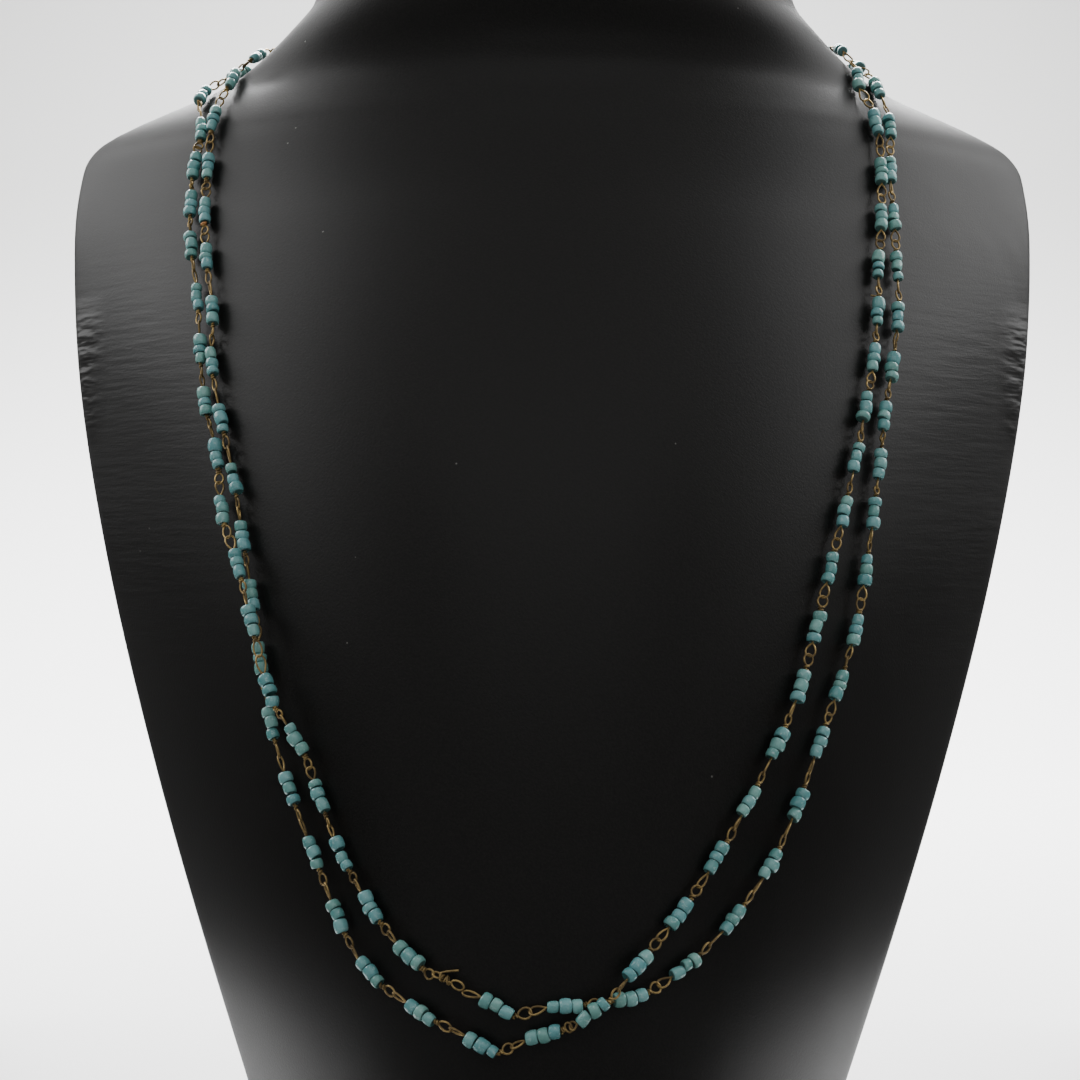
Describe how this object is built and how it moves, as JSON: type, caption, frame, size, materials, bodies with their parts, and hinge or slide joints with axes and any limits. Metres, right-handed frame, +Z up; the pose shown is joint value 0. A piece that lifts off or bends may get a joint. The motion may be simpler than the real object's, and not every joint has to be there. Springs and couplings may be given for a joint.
{
  "type": "beaded necklace on neck bust",
  "caption": "Long closed rope of small turquoise glass beads on hooked brass wire links, draped in loops over a tall black leatherette neck bust that holds it for display.",
  "frame": {"origin": "on the flat base, under the middle of the whole object's box", "axes": "+Z up, the chest and the necklace's front face -Y, +X to the right as the front is looked at"},
  "size_m": [0.2144, 0.1434, 0.315],
  "materials": {
    "leatherette": "black leatherette with a fine grain, satin",
    "beads": "opaque turquoise glass, glossy, slightly uneven",
    "wire": "aged brown brass wire, dull"
  },
  "bodies": {
    "root": {"neck_bust": "leatherette", "turn1_left_top": "beads", "turn1_left_low": "beads", "turn1_front": "beads", "turn1_right_low": "beads", "turn1_right_top": "beads", "turn1_nape": "beads", "turn2_left_top": "beads", "turn2_left_low": "beads", "turn2_front": "beads", "turn2_right_low": "beads", "turn2_right_top": "beads", "turn2_nape": "beads", "closing_twist": "wire"}
  },
  "joints": []
}
